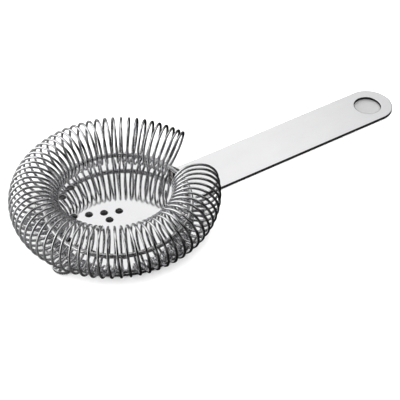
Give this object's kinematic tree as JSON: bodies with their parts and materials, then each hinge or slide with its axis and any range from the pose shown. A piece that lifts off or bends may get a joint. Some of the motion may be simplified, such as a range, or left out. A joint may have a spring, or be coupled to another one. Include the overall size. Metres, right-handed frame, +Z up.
{
  "type": "hawthorne strainer",
  "caption": "Flat pierced steel plate with two ears and a long round-ended handle, and an open coil spring threaded round a wire ring above it.",
  "frame": {"origin": "centre of the footprint, on the flat back face of the plate that the strainer lies on", "axes": "+X runs along the handle from the spring to the hang hole, +Z points up from the flat back towards the spring, +Y completes the right-handed frame"},
  "size_m": [0.164, 0.0751, 0.0198],
  "materials": {
    "plate_steel": "mirror-polished 18-8 stainless sheet with sheared edges",
    "wire_steel": "bright drawn stainless wire",
    "lug_steel": "polished stainless, slightly dull at the welds"
  },
  "bodies": {
    "strainer_body": {"strainer_plate": "plate_steel", "carrier_ring": "wire_steel", "handle_lug_left": "lug_steel", "handle_lug_right": "lug_steel", "far_ring_post": "lug_steel"},
    "spring_body": {"coil_spring": "wire_steel"}
  },
  "joints": [
    {"name": "spring_flex", "type": "slide", "parent": "strainer_body", "child": "spring_body", "axis": [1, 0, 0], "range_m": [0, 0.003], "stiffness_N_per_m": 400, "deforming": ["coil_spring"]}
  ]
}
